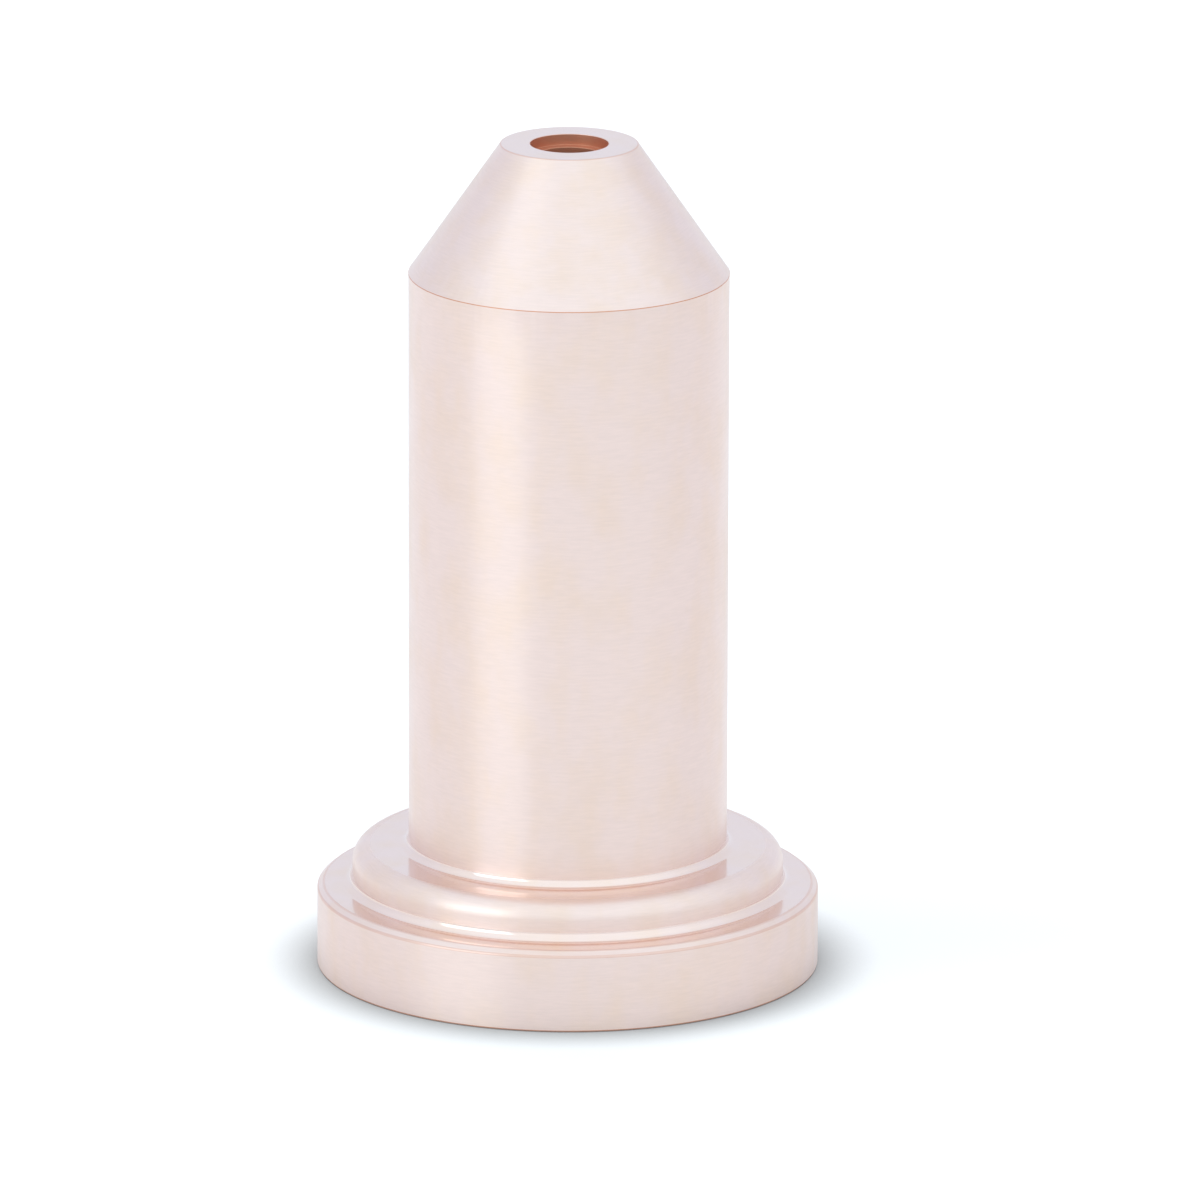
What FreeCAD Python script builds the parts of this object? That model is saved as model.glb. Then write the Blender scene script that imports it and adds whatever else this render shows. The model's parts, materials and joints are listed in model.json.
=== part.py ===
import FreeCAD, Part
import math
import os

# A long-nosed plasma torch nozzle, turned in one piece from copper bar.
#
# The flange is the wide foot: its underside seats on the torch head, and the retaining cap
# clamps its shoulder. The ring above it centres the nozzle in the cap. The barrel reaches out
# through the cap, the nose tapers to the tip, and the arc leaves through the outlet in the
# tip's face. Inside, the chamber opens at the underside and takes the electrode; its end
# converges on the orifice, which ends in the shallow, wider outlet.
#
# Frame: millimetres, the turning axis is Z, the underside lies on Z = 0, and the tip points up.

# Flange, with its edges broken at the shoulder and, less, at the seat
FLANGE_DIAMETER = 20.0
FLANGE_THICKNESS = 3.3
SHOULDER_BREAK_WIDTH = 0.25
SHOULDER_BREAK_HEIGHT = 0.2
SEAT_BREAK = 0.05

# Ring on the flange, with a soft upper edge and a small hollow at its foot
RING_DIAMETER = 17.2
RING_HEIGHT = 1.55
RING_EDGE_RADIUS = 0.7
RING_FOOT_RADIUS = 0.36

# Barrel
BARREL_DIAMETER = 12.7
BARREL_LENGTH = 23.5
BARREL_FOOT_RADIUS = 0.33

# Nose: a straight taper from the barrel to the flat face of the tip
NOSE_LENGTH = 5.25
TIP_DIAMETER = 5.45
TIP_EDGE_RADIUS = 0.05

# Chamber for the electrode
CHAMBER_DIAMETER = 8.2
CHAMBER_MOUTH_CHAMFER = 0.5
CHAMBER_END_RADIUS = 0.5

# The converging cone's half angle, and the land and corner of the orifice after it
CONVERGING_HALF_ANGLE = 45.0
ORIFICE_DIAMETER = 2.4
ORIFICE_LENGTH = 2.6
THROAT_RADIUS = 0.3

# Outlet: the orifice's shallow, wider end in the tip's face
OUTLET_DIAMETER = 3.1
OUTLET_DEPTH = 0.45


def tangent_corner(before, corner, after, radius):
    """Return the two points where an arc of this radius leaves and joins the legs of a corner,
    and the arc's middle point between them."""
    to_before = (before - corner).normalize()
    to_after = (after - corner).normalize()
    half_angle = to_before.getAngle(to_after) / 2
    leg = radius / math.tan(half_angle)
    bisector = (to_before + to_after).normalize()
    middle = corner + bisector * (radius / math.sin(half_angle) - radius)
    return corner + to_before * leg, middle, corner + to_after * leg


def closed_profile(corners):
    """Join (radius from the axis, height, corner radius) corners into a closed wire of straight
    runs, with a tangent arc wherever a corner has a radius."""
    points = [FreeCAD.Vector(x, 0, z) for x, z, rounding in corners]
    runs = []
    for index, (x, z, rounding) in enumerate(corners):
        before = points[index - 1]
        corner = points[index]
        after = points[(index + 1) % len(points)]
        if rounding > 0:
            runs.append(tangent_corner(before, corner, after, rounding))
        else:
            runs.append((corner, None, corner))

    edges = []
    for index, (start, middle, end) in enumerate(runs):
        if middle is not None:
            edges.append(Part.Arc(start, middle, end).toShape())
        next_start = runs[(index + 1) % len(runs)][0]
        edges.append(Part.LineSegment(end, next_start).toShape())
    return Part.Wire(edges)


def nozzle():
    """Revolve the nozzle's half section about the Z axis."""
    flange_top = FLANGE_THICKNESS
    ring_top = flange_top + RING_HEIGHT
    barrel_top = ring_top + BARREL_LENGTH
    tip_top = barrel_top + NOSE_LENGTH

    outlet_floor = tip_top - OUTLET_DEPTH
    throat = outlet_floor - ORIFICE_LENGTH
    chamber_radius = CHAMBER_DIAMETER / 2
    orifice_radius = ORIFICE_DIAMETER / 2
    taper_length = (chamber_radius - orifice_radius) / math.tan(math.radians(CONVERGING_HALF_ANGLE))
    chamber_end = throat - taper_length

    outside = [
        (FLANGE_DIAMETER / 2 - SEAT_BREAK, 0, 0),
        (FLANGE_DIAMETER / 2, SEAT_BREAK, 0),
        (FLANGE_DIAMETER / 2, flange_top - SHOULDER_BREAK_HEIGHT, 0),
        (FLANGE_DIAMETER / 2 - SHOULDER_BREAK_WIDTH, flange_top, 0),
        (RING_DIAMETER / 2, flange_top, RING_FOOT_RADIUS),
        (RING_DIAMETER / 2, ring_top, RING_EDGE_RADIUS),
        (BARREL_DIAMETER / 2, ring_top, BARREL_FOOT_RADIUS),
        (BARREL_DIAMETER / 2, barrel_top, 0),
        (TIP_DIAMETER / 2, tip_top, TIP_EDGE_RADIUS),
    ]
    inside = [
        (OUTLET_DIAMETER / 2, tip_top, 0),
        (OUTLET_DIAMETER / 2, outlet_floor, 0),
        (orifice_radius, outlet_floor, 0),
        (orifice_radius, throat, THROAT_RADIUS),
        (chamber_radius, chamber_end, CHAMBER_END_RADIUS),
        (chamber_radius, CHAMBER_MOUTH_CHAMFER, 0),
        (chamber_radius + CHAMBER_MOUTH_CHAMFER, 0, 0),
    ]
    half_section = Part.Face(closed_profile(outside + inside))
    return half_section.revolve(FreeCAD.Vector(0, 0, 0), FreeCAD.Vector(0, 0, 1), 360)


def main():
    parts = {"nozzle": nozzle()}
    os.makedirs("parts", exist_ok=True)
    for name, shape in parts.items():
        shape.exportStep(os.path.join("parts", name + ".step"))
        print(name, "volume", round(shape.Volume, 2), "mm3")


main()
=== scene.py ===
"""A long-nosed plasma torch nozzle, turned from copper, standing on a pale studio floor."""

import json
import math
from collections import namedtuple

import bpy
import numpy as np
from bpy.props import FloatProperty, FloatVectorProperty, IntProperty, PointerProperty
from mathutils import Matrix, Vector


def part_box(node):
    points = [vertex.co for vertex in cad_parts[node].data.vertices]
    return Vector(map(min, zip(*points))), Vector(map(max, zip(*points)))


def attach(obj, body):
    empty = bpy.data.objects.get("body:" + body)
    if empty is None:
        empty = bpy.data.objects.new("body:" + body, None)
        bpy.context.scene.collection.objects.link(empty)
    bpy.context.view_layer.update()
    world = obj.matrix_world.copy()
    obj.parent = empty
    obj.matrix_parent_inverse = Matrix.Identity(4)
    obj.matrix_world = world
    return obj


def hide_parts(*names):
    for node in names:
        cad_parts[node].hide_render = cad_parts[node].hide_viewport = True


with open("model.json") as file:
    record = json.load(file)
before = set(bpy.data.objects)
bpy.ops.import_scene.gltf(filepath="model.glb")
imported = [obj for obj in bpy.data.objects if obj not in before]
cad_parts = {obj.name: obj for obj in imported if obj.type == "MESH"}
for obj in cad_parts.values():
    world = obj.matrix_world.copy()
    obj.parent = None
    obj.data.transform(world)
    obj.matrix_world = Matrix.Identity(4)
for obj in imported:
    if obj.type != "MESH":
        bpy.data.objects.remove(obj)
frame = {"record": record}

bl_info = {
    "name": "Turned torch nozzle",
    "version": (1, 0, 0),
    "blender": (4, 5, 0),
    "location": "3D View > Sidebar > Nozzle",
    "description": "Turns a copper plasma torch nozzle as one surface of revolution and sets up its studio",
    "category": "Add Mesh",
}

MM = 0.001
MOUNTS = {mount["name"]: mount for mount in frame["record"]["mounts"]}
CAD_LOW, CAD_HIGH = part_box("nozzle")


def mount_radius(name):
    """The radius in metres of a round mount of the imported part."""
    return MOUNTS[name]["dims"]["r_mm"] * MM


def mount_length(name):
    """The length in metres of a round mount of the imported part."""
    return MOUNTS[name]["dims"]["length_mm"] * MM


def mount_height(name):
    """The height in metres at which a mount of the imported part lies."""
    return MOUNTS[name]["pos_m"][2]


def length_property(name, description, default):
    """A length in metres that the sidebar shows in the scene's unit."""
    return FloatProperty(
        name=name, description=description, default=default, min=0.0, precision=5, unit="LENGTH"
    )


def factor_property(name, description, default, highest=1.0):
    """A plain number from nought to a highest value."""
    return FloatProperty(name=name, description=description, default=default, min=0.0, max=highest)


def angle_property(name, description, degrees):
    """An angle, stated in degrees and kept in radians."""
    return FloatProperty(name=name, description=description, default=math.radians(degrees), subtype="ANGLE")


def linear_colour(hex_value):
    """An sRGB colour such as "C87F5A" as linear red, green and blue."""
    channels = np.array([int(hex_value[i:i + 2], 16) for i in (0, 2, 4)]) / 255.0
    low = channels / 12.92
    high = ((channels + 0.055) / 1.055) ** 2.4
    return tuple(float(v) for v in np.where(channels <= 0.04045, low, high))


def colour_property(name, description, hex_value):
    """A colour whose default is given as sRGB hex."""
    return FloatVectorProperty(
        name=name, description=description, default=linear_colour(hex_value),
        subtype="COLOR", min=0.0, max=1.0,
    )


class NozzleSizes(bpy.types.PropertyGroup):
    """Sizes of the turned section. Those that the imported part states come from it."""

    flange_radius: length_property("Flange radius", "Radius of the wide foot", mount_radius("flange_rim"))
    flange_height: length_property(
        "Flange height", "Height of the flange's shoulder", mount_height("flange_shoulder")
    )
    break_width: length_property("Shoulder break width", "Width of the shoulder's broken edge", 0.25 * MM)
    break_height: length_property("Shoulder break height", "Height of the shoulder's broken edge", 0.2 * MM)
    break_edge: length_property("Shoulder break edges", "Radius of the broken edge's two edges", 0.12 * MM)
    seat_break: length_property("Seat break", "Edge break of the flange's underside", 0.05 * MM)
    ring_radius: length_property("Ring radius", "Radius of the centring ring", 8.6 * MM)
    ring_height: length_property("Ring height", "Height of the ring above the flange", 1.55 * MM)
    ring_edge: length_property("Ring edge", "Radius of the ring's soft upper edge", 0.7 * MM)
    ring_foot: length_property("Ring foot", "Radius of the hollow at the ring's foot", 0.36 * MM)
    barrel_radius: length_property("Barrel radius", "Radius of the barrel", mount_radius("barrel"))
    barrel_foot: length_property("Barrel foot", "Radius of the hollow at the barrel's foot", 0.33 * MM)
    nose_length: length_property("Nose length", "Height of the taper", 5.25 * MM)
    tip_radius: length_property("Tip radius", "Radius of the tip's flat face", 2.725 * MM)
    tip_edge: length_property("Tip edge", "Edge radius of the tip's face", 0.05 * MM)
    outlet_radius: length_property("Outlet radius", "Radius of the outlet", mount_radius("outlet"))
    outlet_depth: length_property("Outlet depth", "Depth of the outlet's step", mount_length("outlet"))
    orifice_radius: length_property("Orifice radius", "Radius of the orifice", mount_radius("orifice"))
    orifice_length: length_property("Orifice length", "Length of the orifice", 2.6 * MM)
    throat_radius: length_property("Throat", "Radius of the corner between cone and orifice", 0.3 * MM)
    chamber_radius: length_property(
        "Chamber radius", "Radius of the electrode's chamber", mount_radius("chamber")
    )
    chamber_end: length_property("Chamber end", "Radius of the corner between chamber and cone", 0.5 * MM)
    mouth_chamfer: length_property("Mouth chamfer", "Chamfer of the chamber's mouth", 0.5 * MM)
    converging_angle: angle_property("Converging angle", "Half angle of the chamber's cone", 45.0)
    crisp_edge: length_property("Crisp edge", "Tiny radius that a cut edge really has", 0.02 * MM)
    burr_height: length_property("Burr height", "Height of the raised lip round the nose's foot", 0.018 * MM)
    burr_width: length_property("Burr width", "Half width of that lip", 0.04 * MM)
    burr_seed: IntProperty(name="Burr seed", description="Draws another uneven lip", default=5)
    steps_round: IntProperty(name="Steps round", description="Divisions round the axis", default=432, min=24)


class CopperFinish(bpy.types.PropertyGroup):
    """Colours and gloss of the copper."""

    skin: colour_property("Skin", "Bright pickled copper, paler than cut copper", "EFD8D0")
    warm: colour_property("Warm patches", "Faintly yellow patches where the brightening took less", "EFD6C8")
    # Cut copper colour: bare copper at rubbed edges, and in the bore also painted shade for light bouncing
    # many times.
    deep: colour_property("Cut copper", "Bare copper at rubbed edges and in the bore", "D08A66")
    wall_roughness: factor_property("Wall roughness", "Roughness of the turned walls", 0.36)
    face_roughness: factor_property("Face roughness", "Roughness of the faced shoulders", 0.12)
    bore_roughness: factor_property("Bore roughness", "Roughness of the drilled and reamed bore", 0.5)


class StudioSettings(bpy.types.PropertyGroup):
    """Camera, floor and light."""

    camera_distance: length_property("Camera distance", "From the camera to the point it looks at", 0.64)
    camera_elevation: angle_property("Camera elevation", "Height angle of the camera", 15.56)
    camera_roll: angle_property("Camera roll", "Turn of the camera about its line of sight", 0.16)
    aim_right: length_property("Aim right", "How far the aim lies to the right of the axis", 1.26 * MM)
    aim_up: length_property("Aim up", "How far the aim lies above the foot, across the view", 14.36 * MM)
    lens_mm: FloatProperty(
        name="Lens", description="Focal length on the 36 mm sensor", default=480.0, unit="CAMERA"
    )
    floor_radius: length_property("Floor radius", "Radius of the round floor", 3.0)
    floor_white: factor_property("Floor white", "Share of the light that the floor gives back", 0.6)
    floor_lift: factor_property("Floor lift", "What the camera sees on top of the lit floor", 0.29)
    mirror_lift: factor_property("Mirror lift", "What the metal mirrors on top of the lit floor", 0.18)
    # The contact settings set the painted contact shadow round the foot.
    contact_reach: length_property("Contact reach", "How far the dark line round the foot fades", 2.6 * MM)
    contact_seen: factor_property("Contact seen", "Depth of that line in the camera's view", 1.0)
    contact_mirrored: factor_property("Contact mirrored", "Depth of that line in everything else", 0.35)


# ---------------------------------------------------------------------------------------------
# The turned section
# ---------------------------------------------------------------------------------------------

TURNED, FACED, BORED = range(3)

# A corner of the half section: its place, its rounding, the finish of that rounding and of the
# straight run after it, and how much bare copper shows along it.
Corner = namedtuple("Corner", "radius height rounding round_finish run_finish rub")


def section_corners(s):
    """The closed half section, up the outside and down the bore, as corners in metres."""
    flange_top = s.flange_height
    ring_top = flange_top + s.ring_height
    tip_top = CAD_HIGH.z
    barrel_top = tip_top - s.nose_length
    outlet_floor = tip_top - s.outlet_depth
    throat = outlet_floor - s.orifice_length
    chamber_end = throat - (s.chamber_radius - s.orifice_radius) / math.tan(s.converging_angle)
    edge = s.crisp_edge
    return [
        Corner(s.flange_radius - s.seat_break, 0.0, edge, TURNED, TURNED, 1.0),
        Corner(s.flange_radius, s.seat_break, edge, TURNED, TURNED, 1.0),
        Corner(s.flange_radius, flange_top - s.break_height, s.break_edge, TURNED, TURNED, 0.3),
        Corner(s.flange_radius - s.break_width, flange_top, s.break_edge, TURNED, FACED, 0.2),
        Corner(s.ring_radius, flange_top, s.ring_foot, FACED, TURNED, 0.0),
        Corner(s.ring_radius, ring_top, s.ring_edge, TURNED, FACED, 0.0),
        Corner(s.barrel_radius, ring_top, s.barrel_foot, FACED, TURNED, 0.0),
        Corner(s.barrel_radius, barrel_top, edge, TURNED, TURNED, 1.0),
        Corner(s.tip_radius, tip_top, s.tip_edge, TURNED, FACED, 0.3),
        Corner(s.outlet_radius, tip_top, edge, FACED, BORED, 0.3),
        Corner(s.outlet_radius, outlet_floor, edge, BORED, BORED, 0.0),
        Corner(s.orifice_radius, outlet_floor, edge, BORED, BORED, 0.0),
        Corner(s.orifice_radius, throat, s.throat_radius, BORED, BORED, 0.0),
        Corner(s.chamber_radius, chamber_end, s.chamber_end, BORED, BORED, 0.0),
        Corner(s.chamber_radius, s.mouth_chamfer, edge, BORED, BORED, 0.0),
        Corner(s.chamber_radius + s.mouth_chamfer, 0.0, edge, BORED, FACED, 0.3),
    ]


def rounded_section(corners):
    """Points along the closed section, with the finish and the rub of each.

    At each corner an arc is tangent to both legs: it starts rounding / tan(half the corner's
    angle) before the corner and its points are centre + rounding * (cos t, sin t), with t
    running evenly between the two tangent points. A straight run gets a few rows, close
    together near its ends, so that the smooth shading of an arc stays out of the run.
    """
    places = np.array([(c.radius, c.height) for c in corners])
    to_before = np.roll(places, 1, axis=0) - places
    to_after = np.roll(places, -1, axis=0) - places
    to_before /= np.linalg.norm(to_before, axis=1, keepdims=True)
    to_after /= np.linalg.norm(to_after, axis=1, keepdims=True)
    half = np.arccos(np.clip((to_before * to_after).sum(1), -1.0, 1.0)) / 2
    rounding = np.array([c.rounding for c in corners])
    leg = (rounding / np.tan(half))[:, None]
    starts = places + to_before * leg
    ends = places + to_after * leg
    bisector = to_before + to_after
    bisector /= np.linalg.norm(bisector, axis=1, keepdims=True)
    centres = places + bisector * (rounding / np.sin(half))[:, None]

    points, finishes, rubs = [], [], []
    for k, corner in enumerate(corners):
        first = starts[k] - centres[k]
        last = ends[k] - centres[k]
        turn = math.atan2(first[0] * last[1] - first[1] * last[0], first @ last)
        steps = 12 if corner.rounding > 0.1 * MM else 4
        t = math.atan2(first[1], first[0]) + turn * np.linspace(0.0, 1.0, steps + 1)
        arc = centres[k] + corner.rounding * np.stack([np.cos(t), np.sin(t)], 1)

        run = starts[(k + 1) % len(corners)] - ends[k]
        length = np.linalg.norm(run)
        guard = min(0.02 * MM, length / 4)
        rows = max(2, int(length / (1.2 * MM)))
        along = np.concatenate([[guard], np.linspace(0.0, length, rows + 1)[1:-1], [length - guard]])
        straight = ends[k] + run * (along / length)[:, None]

        points += [arc, straight]
        finishes.append(np.full(len(arc) - 1, corner.round_finish))
        finishes.append(np.full(len(straight) + 1, corner.run_finish))
        rubs += [np.full(len(arc), corner.rub), np.zeros(len(straight))]
    return np.concatenate(points), np.concatenate(finishes), np.concatenate(rubs)


def ragged_ring(angles, seed, fewest, most, terms=24):
    """An uneven height between nought and one round the axis: a sum of sines whose waves fit
    the circle a whole number of times, from the fewest to the most, each with its own phase,
    squeezed by a smooth step."""
    rng = np.random.default_rng(seed)
    counts = rng.integers(fewest, most, terms)
    phases = rng.uniform(0.0, 2.0 * np.pi, terms)
    weights = rng.uniform(0.4, 1.0, terms)
    heights = (weights[:, None] * np.sin(counts[:, None] * angles + phases[:, None])).sum(0)
    heights = 0.5 + heights / (2.2 * np.abs(heights).max())
    return heights * heights * (3.0 - 2.0 * heights)


def turned_mesh(name, s):
    """The section carried round the axis: x = r cos a, y = r sin a, z = h, for angles a from
    nought to a full turn, with the first column and row joined to the last. A ragged lip is
    added round the foot of the nose: each point there moves outwards by the burr's height
    times exp(-(d / width)^2) times the ragged height at its angle, with d its distance from
    the edge."""
    corners = section_corners(s)
    section, finish, rub = rounded_section(corners)
    rows, columns = len(section), s.steps_round
    angles = np.arange(columns) * (2.0 * np.pi / columns)

    edge = np.array([s.barrel_radius, CAD_HIGH.z - s.nose_length])
    nearness = np.exp(-((np.linalg.norm(section - edge, axis=1) / s.burr_width) ** 2))
    ragged = ragged_ring(angles, s.burr_seed, fewest=20, most=150)
    lip = s.burr_height * nearness[:, None] * ragged[None, :]
    radius = section[:, 0][:, None] + lip
    height = section[:, 1][:, None] + np.zeros_like(lip)
    places = np.stack([radius * np.cos(angles), radius * np.sin(angles), height], 2).reshape(-1, 3)

    row = np.arange(rows)[:, None]
    column = np.arange(columns)[None, :]
    row_after = (row + 1) % rows
    column_after = (column + 1) % columns
    quads = np.stack(
        [
            row * columns + column,
            row * columns + column_after,
            row_after * columns + column_after,
            row_after * columns + column,
        ],
        2,
    ).reshape(-1, 4)

    mesh = bpy.data.meshes.new(name)
    mesh.vertices.add(len(places))
    mesh.vertices.foreach_set("co", places.ravel())
    mesh.loops.add(quads.size)
    mesh.loops.foreach_set("vertex_index", quads.ravel())
    mesh.polygons.add(len(quads))
    mesh.polygons.foreach_set("loop_start", np.arange(0, quads.size, 4))
    mesh.polygons.foreach_set("material_index", np.repeat(finish, columns))
    mesh.polygons.foreach_set("use_smooth", np.ones(len(quads), bool))

    steps = np.linalg.norm(np.roll(section, -1, axis=0) - section, axis=1)
    along = np.concatenate([[0.0], np.cumsum(steps)]) / steps.sum()
    across = np.arange(columns + 1) / columns
    j, i = np.divmod(np.arange(len(quads)), columns)
    u = np.stack([along[j], along[j], along[j + 1], along[j + 1]], 1)
    v = np.stack([across[i], across[i + 1], across[i + 1], across[i]], 1)
    layer = mesh.uv_layers.new(name="section")
    layer.uv.foreach_set("vector", np.stack([u, v], 2).ravel())

    bare = mesh.attributes.new("bare_copper", "FLOAT", "POINT")
    bare.data.foreach_set("value", np.repeat(rub, columns))
    mesh.update(calc_edges=True)
    mesh.validate()
    return mesh


# ---------------------------------------------------------------------------------------------
# Copper
# ---------------------------------------------------------------------------------------------


def add_node(tree, kind, links=None, values=None, **settings):
    """Add a node, set its own settings and its sockets' values, and link sockets to outputs."""
    node = tree.nodes.new(kind)
    for key, value in settings.items():
        setattr(node, key, value)
    for key, value in (values or {}).items():
        node.inputs[key].default_value = value
    for key, output in (links or {}).items():
        tree.links.new(output, node.inputs[key])
    return node


def circumferential_pattern(tree, along_mm, across_mm):
    """Coordinates whose unit cell is long round the axis and short across the tool marks.

    The vector is (x / along, y / along, (z - r) / across), with r the distance from the axis:
    on a wall only z changes, on a shoulder only r, and on the nose both, so the marks run
    round the axis everywhere and have no seam.
    """
    place = add_node(tree, "ShaderNodeTexCoord").outputs["Object"]
    parts = add_node(tree, "ShaderNodeSeparateXYZ", {0: place}).outputs
    flat = add_node(tree, "ShaderNodeCombineXYZ", {"X": parts["X"], "Y": parts["Y"]}).outputs[0]
    radius = add_node(tree, "ShaderNodeVectorMath", {0: flat}, operation="LENGTH").outputs["Value"]
    level = add_node(tree, "ShaderNodeMath", {0: parts["Z"], 1: radius}, operation="SUBTRACT").outputs[0]
    joined = add_node(tree, "ShaderNodeCombineXYZ", {"X": parts["X"], "Y": parts["Y"], "Z": level}).outputs[0]
    scale = (1.0 / (along_mm * MM), 1.0 / (along_mm * MM), 1.0 / (across_mm * MM))
    return add_node(tree, "ShaderNodeVectorMath", {0: joined}, {1: scale}, operation="MULTIPLY").outputs[0]


def copper_material(name, finish, roughness, spread, marks_mm, mark_height_mm, grain, bare):
    """Copper with tool marks round the axis: roughness, its spread across the marks, the marks'
    pitch and height, how much their brightness varies, and how much cut copper colour is mixed in, as bare
    copper and, in the bore, as painted shade."""
    material = bpy.data.materials.new(name)
    material.use_nodes = True
    tree = material.node_tree
    tree.nodes.clear()

    strokes = add_node(
        tree, "ShaderNodeTexNoise", {"Vector": circumferential_pattern(tree, 8 * marks_mm, marks_mm)},
        {"Scale": 1.0, "Detail": 2.0, "Roughness": 0.6},
    ).outputs["Fac"]
    patches = add_node(
        tree, "ShaderNodeTexNoise", {"Vector": circumferential_pattern(tree, 1.6, 3.0)},
        {"Scale": 1.0, "Detail": 3.0, "Roughness": 0.55},
    ).outputs["Fac"]

    patchy = add_node(
        tree, "ShaderNodeMapRange", {"Value": patches}, {"From Min": 0.42, "From Max": 0.72}
    ).outputs["Result"]
    skin = add_node(
        tree, "ShaderNodeMix", {"Factor": patchy},
        {"A": (*finish.skin, 1.0), "B": (*finish.warm, 1.0)}, data_type="RGBA",
    )
    grained = add_node(
        tree, "ShaderNodeMapRange", {"Value": strokes},
        {"From Min": 0.3, "From Max": 0.7, "To Min": 1.0 - grain, "To Max": 1.0 + grain},
    ).outputs["Result"]
    shaded = add_node(
        tree, "ShaderNodeVectorMath", {0: skin.outputs["Result"], "Scale": grained}, operation="SCALE"
    ).outputs[0]

    rubbed = add_node(tree, "ShaderNodeAttribute", attribute_name="bare_copper").outputs["Fac"]
    rubbed = add_node(
        tree, "ShaderNodeMath", {0: rubbed}, {1: bare}, operation="ADD", use_clamp=True
    ).outputs[0]
    # Cut copper colour mixed in: wear at rubbed edges, and painted shade in the bore.
    colour = add_node(
        tree, "ShaderNodeMix", {"Factor": rubbed, "A": shaded}, {"B": (*finish.deep, 1.0)}, data_type="RGBA"
    ).outputs["Result"]

    bump = add_node(
        tree, "ShaderNodeBump", {"Height": strokes}, {"Strength": 1.0, "Distance": mark_height_mm * MM}
    ).outputs["Normal"]
    gloss = add_node(
        tree, "ShaderNodeMapRange", {"Value": patches},
        {"From Min": 0.3, "From Max": 0.7, "To Min": roughness * 0.92, "To Max": roughness * 1.08},
    ).outputs["Result"]
    tangent = add_node(tree, "ShaderNodeTangent", direction_type="UV_MAP", uv_map="section").outputs[0]
    shader = add_node(
        tree, "ShaderNodeBsdfPrincipled",
        {"Base Color": colour, "Roughness": gloss, "Normal": bump, "Tangent": tangent},
        {"Metallic": 1.0, "Anisotropic": spread},
    )
    add_node(tree, "ShaderNodeOutputMaterial", {"Surface": shader.outputs[0]})
    return material


# ---------------------------------------------------------------------------------------------
# Operators
# ---------------------------------------------------------------------------------------------


class NOZZLE_OT_turn_body(bpy.types.Operator):
    """Turn the nozzle's body from its section and give it its copper"""

    bl_idname = "nozzle.turn_body"
    bl_label = "Turn body"

    def execute(self, context):
        sizes = context.scene.nozzle_sizes
        finish = context.scene.nozzle_finish
        mesh = turned_mesh("turned_nozzle", sizes)
        # Walls: a fine feed left low rings and the pickling a satin skin; light smears up and down.
        walls = copper_material(
            "satin_turned_copper", finish, finish.wall_roughness,
            spread=0.75, marks_mm=0.09, mark_height_mm=0.0012, grain=0.022, bare=0.0,
        )
        # Shoulders and fillets: faced last with a sharp tool, so they mirror what stands on them.
        faces = copper_material(
            "bright_faced_copper", finish, finish.face_roughness,
            spread=0.4, marks_mm=0.12, mark_height_mm=0.0003, grain=0.008, bare=0.0,
        )
        # Bore: drilled and reamed, bare copper in colour, deepened further by painted shade for light that
        # meets the wall many times.
        bore = copper_material(
            "reamed_bore_copper", finish, finish.bore_roughness,
            spread=0.3, marks_mm=0.12, mark_height_mm=0.002, grain=0.03, bare=0.85,
        )
        for material in (walls, faces, bore):
            mesh.materials.append(material)
        body = bpy.data.objects.new("turned_nozzle", mesh)
        context.scene.collection.objects.link(body)
        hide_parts("nozzle")
        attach(body, "root")
        return {"FINISHED"}


def floor_material(s):
    """A white table top. The camera sees it a little brighter than its lit colour, up to white,
    and so, less, does the metal that mirrors it. The object's shadow stays on it, and a painted
    contact shadow darkens it close round the foot."""
    material = bpy.data.materials.new("white_table")
    material.use_nodes = True
    tree = material.node_tree
    tree.nodes.clear()
    path = add_node(tree, "ShaderNodeLightPath").outputs
    mirrored = add_node(
        tree, "ShaderNodeMath", {0: path["Is Glossy Ray"], 1: path["Is Transmission Ray"]},
        operation="MAXIMUM",
    ).outputs[0]
    mirrored = add_node(
        tree, "ShaderNodeMath", {0: mirrored}, {1: s.mirror_lift}, operation="MULTIPLY"
    ).outputs[0]
    lift = add_node(
        tree, "ShaderNodeMath", {0: path["Is Camera Ray"], 2: mirrored}, {1: s.floor_lift},
        operation="MULTIPLY_ADD",
    ).outputs[0]

    # Painted contact shadow: close to the seat, ambient occlusion darkens the table's colour and glow beyond
    # what the lamps' own shadows show.
    nearby = add_node(
        tree, "ShaderNodeAmbientOcclusion", values={"Distance": s.contact_reach}, samples=8
    ).outputs["AO"]
    depth = add_node(
        tree, "ShaderNodeMath", {0: path["Is Camera Ray"]},
        {1: s.contact_seen - s.contact_mirrored, 2: s.contact_mirrored}, operation="MULTIPLY_ADD",
    ).outputs[0]
    open_share = add_node(tree, "ShaderNodeMath", {0: nearby, 1: depth}, operation="POWER").outputs[0]

    lift = add_node(tree, "ShaderNodeMath", {0: lift, 1: open_share}, operation="MULTIPLY").outputs[0]
    white = add_node(
        tree, "ShaderNodeVectorMath", {"Scale": open_share}, {0: (s.floor_white,) * 3}, operation="SCALE"
    ).outputs[0]
    lit = add_node(tree, "ShaderNodeBsdfDiffuse", {"Color": white}).outputs[0]
    glow = add_node(tree, "ShaderNodeEmission", {"Strength": lift}).outputs[0]
    top = add_node(tree, "ShaderNodeAddShader", {0: lit, 1: glow}).outputs[0]
    below = add_node(tree, "ShaderNodeBsdfTransparent").outputs[0]
    side = add_node(tree, "ShaderNodeNewGeometry").outputs["Backfacing"]
    both = add_node(tree, "ShaderNodeMixShader", {0: side, 1: top, 2: below}).outputs[0]
    add_node(tree, "ShaderNodeOutputMaterial", {"Surface": both})
    return material


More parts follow.
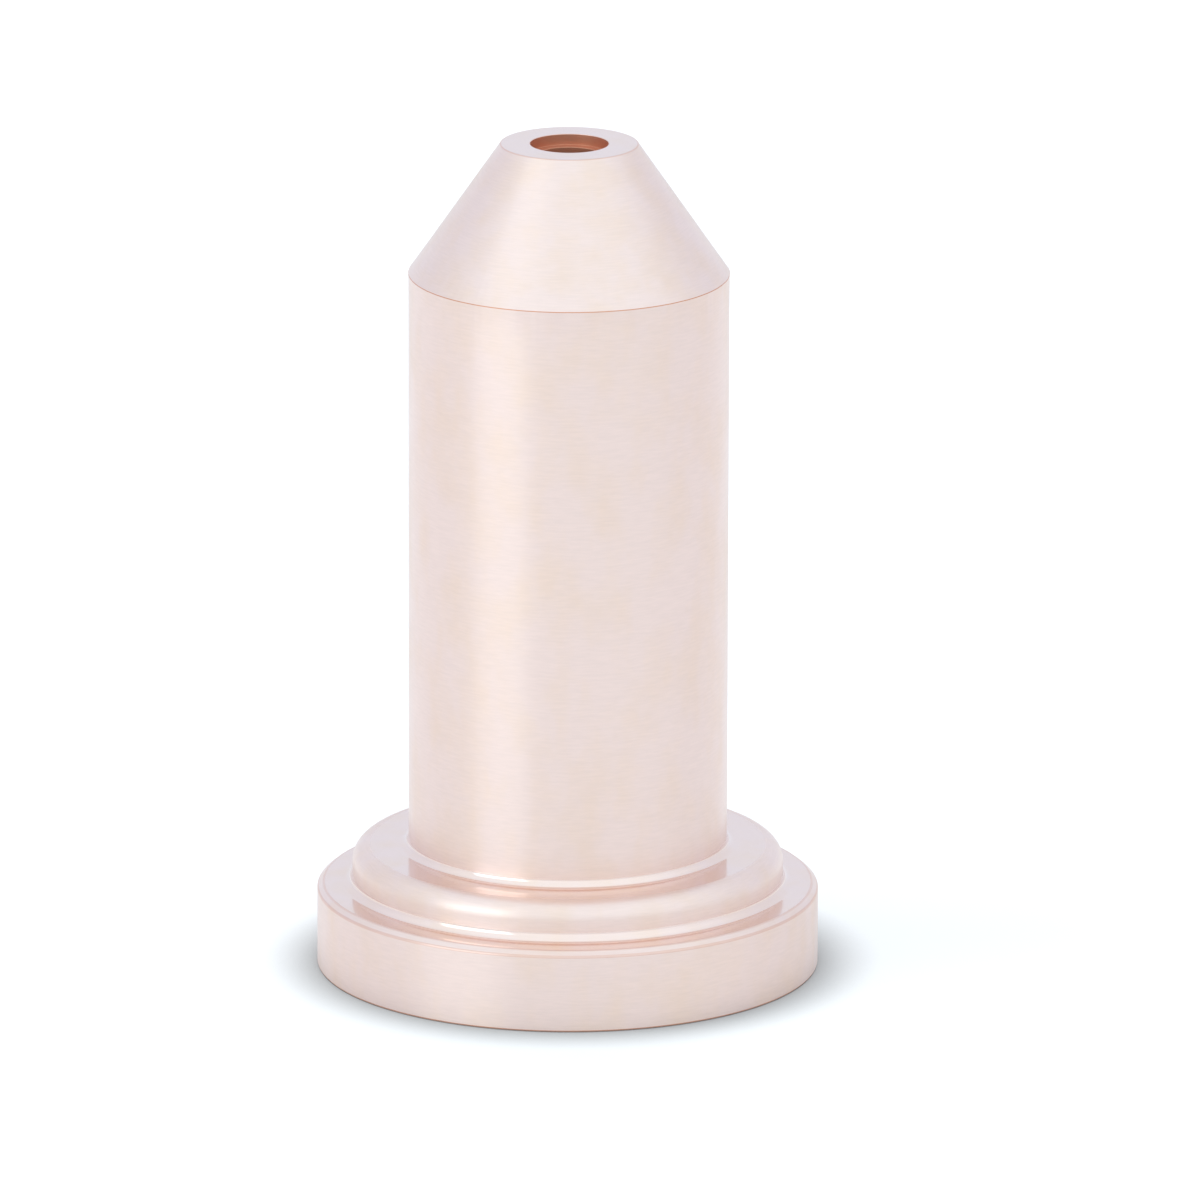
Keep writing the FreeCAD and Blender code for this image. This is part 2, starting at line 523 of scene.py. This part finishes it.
def add_floor(s, sides=96):
    """A round floor at the height of the nozzle's seat, as one flat face with many sides."""
    angles = np.arange(sides) * (2.0 * np.pi / sides)
    across = s.floor_radius * np.cos(angles)
    away = s.floor_radius * np.sin(angles)
    rim = np.stack([across, away, np.full(sides, CAD_LOW.z)], 1)
    mesh = bpy.data.meshes.new("studio_floor")
    mesh.from_pydata(rim.tolist(), [], [list(range(sides))])
    mesh.materials.append(floor_material(s))
    floor = bpy.data.objects.new("studio_floor", mesh)
    bpy.context.scene.collection.objects.link(floor)


def compass(azimuth, elevation):
    """The unit vector towards a place seen from the nozzle: azimuth in degrees to the right of
    the camera's side, elevation above the floor."""
    a, e = math.radians(azimuth), math.radians(elevation)
    return Vector((math.sin(a) * math.cos(e), -math.cos(a) * math.cos(e), math.sin(e)))


# The tent's light, behind the nozzle and on the camera's side, where one is plain white.
TENT_BEHIND = (0.86, 0.94, 1.06, 1.0)
TENT_BEFORE = (1.10, 1.24, 1.32, 1.0)
PLAIN_WHITE = (1.0, 1.0, 1.0, 1.0)


def studio_world():
    """A pale, cool tent: dimmer behind the nozzle, brighter above the camera's side. The camera
    itself sees plain white."""
    world = bpy.data.worlds.new("pale_tent")
    world.use_nodes = True
    tree = world.node_tree
    tree.nodes.clear()
    way = add_node(tree, "ShaderNodeTexCoord").outputs["Generated"]
    front = add_node(
        tree, "ShaderNodeVectorMath", {0: way}, {1: compass(0.0, 40.0)}, operation="DOT_PRODUCT"
    ).outputs["Value"]
    share = add_node(
        tree, "ShaderNodeMapRange", {"Value": front}, {"From Min": -0.4, "From Max": 0.9},
        interpolation_type="SMOOTHSTEP",
    ).outputs["Result"]
    tent = add_node(
        tree, "ShaderNodeMix", {"Factor": share},
        {"A": TENT_BEHIND, "B": TENT_BEFORE}, data_type="RGBA",
    ).outputs["Result"]
    light = add_node(tree, "ShaderNodeBackground", {"Color": tent}, {"Strength": 1.0}).outputs[0]
    white = add_node(
        tree, "ShaderNodeBackground", values={"Color": PLAIN_WHITE, "Strength": 1.0}
    ).outputs[0]
    seen = add_node(tree, "ShaderNodeLightPath").outputs["Is Camera Ray"]
    both = add_node(tree, "ShaderNodeMixShader", {0: seen, 1: light, 2: white}).outputs[0]
    add_node(tree, "ShaderNodeOutputWorld", {"Surface": both})
    bpy.context.scene.world = world


SOFTBOX_DISTANCE = 0.6


def add_softbox(name, azimuth, elevation, width, height, radiance, colour=(1.0, 1.0, 1.0), glossy=True):
    """A rectangular lamp that faces the nozzle. Radiance is what a mirror would show of it,
    unless glossy is off, which keeps it out of the metal."""
    lamp = bpy.data.lights.new(name, "AREA")
    lamp.shape = "RECTANGLE"
    lamp.size = width
    lamp.size_y = height
    lamp.energy = radiance * math.pi * width * height
    lamp.color = colour
    box = bpy.data.objects.new(name, lamp)
    way = compass(azimuth, elevation)
    middle = Vector((0.0, 0.0, (CAD_LOW.z + CAD_HIGH.z) / 2))
    turn = way.to_track_quat("Z", "Y").to_matrix().to_4x4()
    box.matrix_world = Matrix.Translation(middle + way * SOFTBOX_DISTANCE) @ turn
    box.visible_glossy = glossy
    bpy.context.scene.collection.objects.link(box)


def add_camera(s):
    """A long lens from the front, a little above, aimed beside the axis by the two offsets."""
    toward = compass(0.0, math.degrees(s.camera_elevation))
    right = Vector((1.0, 0.0, 0.0))
    up = toward.cross(right)
    aim = right * s.aim_right + up * s.aim_up
    turn = Matrix((right, up, toward)).transposed().to_4x4()
    data = bpy.data.cameras.new("studio_camera")
    data.sensor_width = 36.0
    data.lens = s.lens_mm
    data.clip_start = 0.05
    data.clip_end = 10.0
    camera = bpy.data.objects.new("studio_camera", data)
    place = Matrix.Translation(aim + toward * s.camera_distance)
    camera.matrix_world = place @ turn @ Matrix.Rotation(s.camera_roll, 4, "Z")
    bpy.context.scene.collection.objects.link(camera)
    bpy.context.scene.camera = camera


class NOZZLE_OT_set_studio(bpy.types.Operator):
    """Set up the floor, the pale tent, the softboxes and the camera"""

    bl_idname = "nozzle.set_studio"
    bl_label = "Set studio"

    def execute(self, context):
        settings = context.scene.nozzle_studio
        context.scene.view_settings.view_transform = "Standard"
        add_floor(settings)
        studio_world()
        # The key gives the walls their bright band; the other two only light the table.
        add_softbox(
            "key_softbox", -50.0, 13.0, width=0.42, height=0.3, radiance=0.85, colour=(0.85, 1.0, 1.0)
        )
        add_softbox("side_softbox", -78.0, 50.0, width=0.3, height=0.3, radiance=2.6, glossy=False)
        add_softbox("back_softbox", 180.0, 62.0, width=0.4, height=0.3, radiance=2.0, glossy=False)
        add_camera(settings)
        return {"FINISHED"}


class NOZZLE_PT_sidebar(bpy.types.Panel):
    """Lists the nozzle's operators and settings"""

    bl_idname = "NOZZLE_PT_sidebar"
    bl_label = "Nozzle"
    bl_space_type = "VIEW_3D"
    bl_region_type = "UI"
    bl_category = "Nozzle"

    def draw(self, context):
        layout = self.layout
        for operator in OPERATORS:
            layout.operator(operator.bl_idname)
        for group in (context.scene.nozzle_sizes, context.scene.nozzle_finish, context.scene.nozzle_studio):
            box = layout.box()
            for key in group.bl_rna.properties.keys():
                if key not in ("rna_type", "name"):
                    box.prop(group, key)


OPERATORS = (NOZZLE_OT_turn_body, NOZZLE_OT_set_studio)
GROUPS = {"nozzle_sizes": NozzleSizes, "nozzle_finish": CopperFinish, "nozzle_studio": StudioSettings}


def register():
    for group in GROUPS.values():
        bpy.utils.register_class(group)
    for operator in OPERATORS:
        bpy.utils.register_class(operator)
    bpy.utils.register_class(NOZZLE_PT_sidebar)
    for key, group in GROUPS.items():
        setattr(bpy.types.Scene, key, PointerProperty(type=group))


def unregister():
    for key in GROUPS:
        delattr(bpy.types.Scene, key)
    bpy.utils.unregister_class(NOZZLE_PT_sidebar)
    for operator in reversed(OPERATORS):
        bpy.utils.unregister_class(operator)
    for group in reversed(list(GROUPS.values())):
        bpy.utils.unregister_class(group)


def main():
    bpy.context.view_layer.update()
    register()
    bpy.ops.nozzle.turn_body()
    bpy.ops.nozzle.set_studio()


if __name__ == "__main__":
    main()
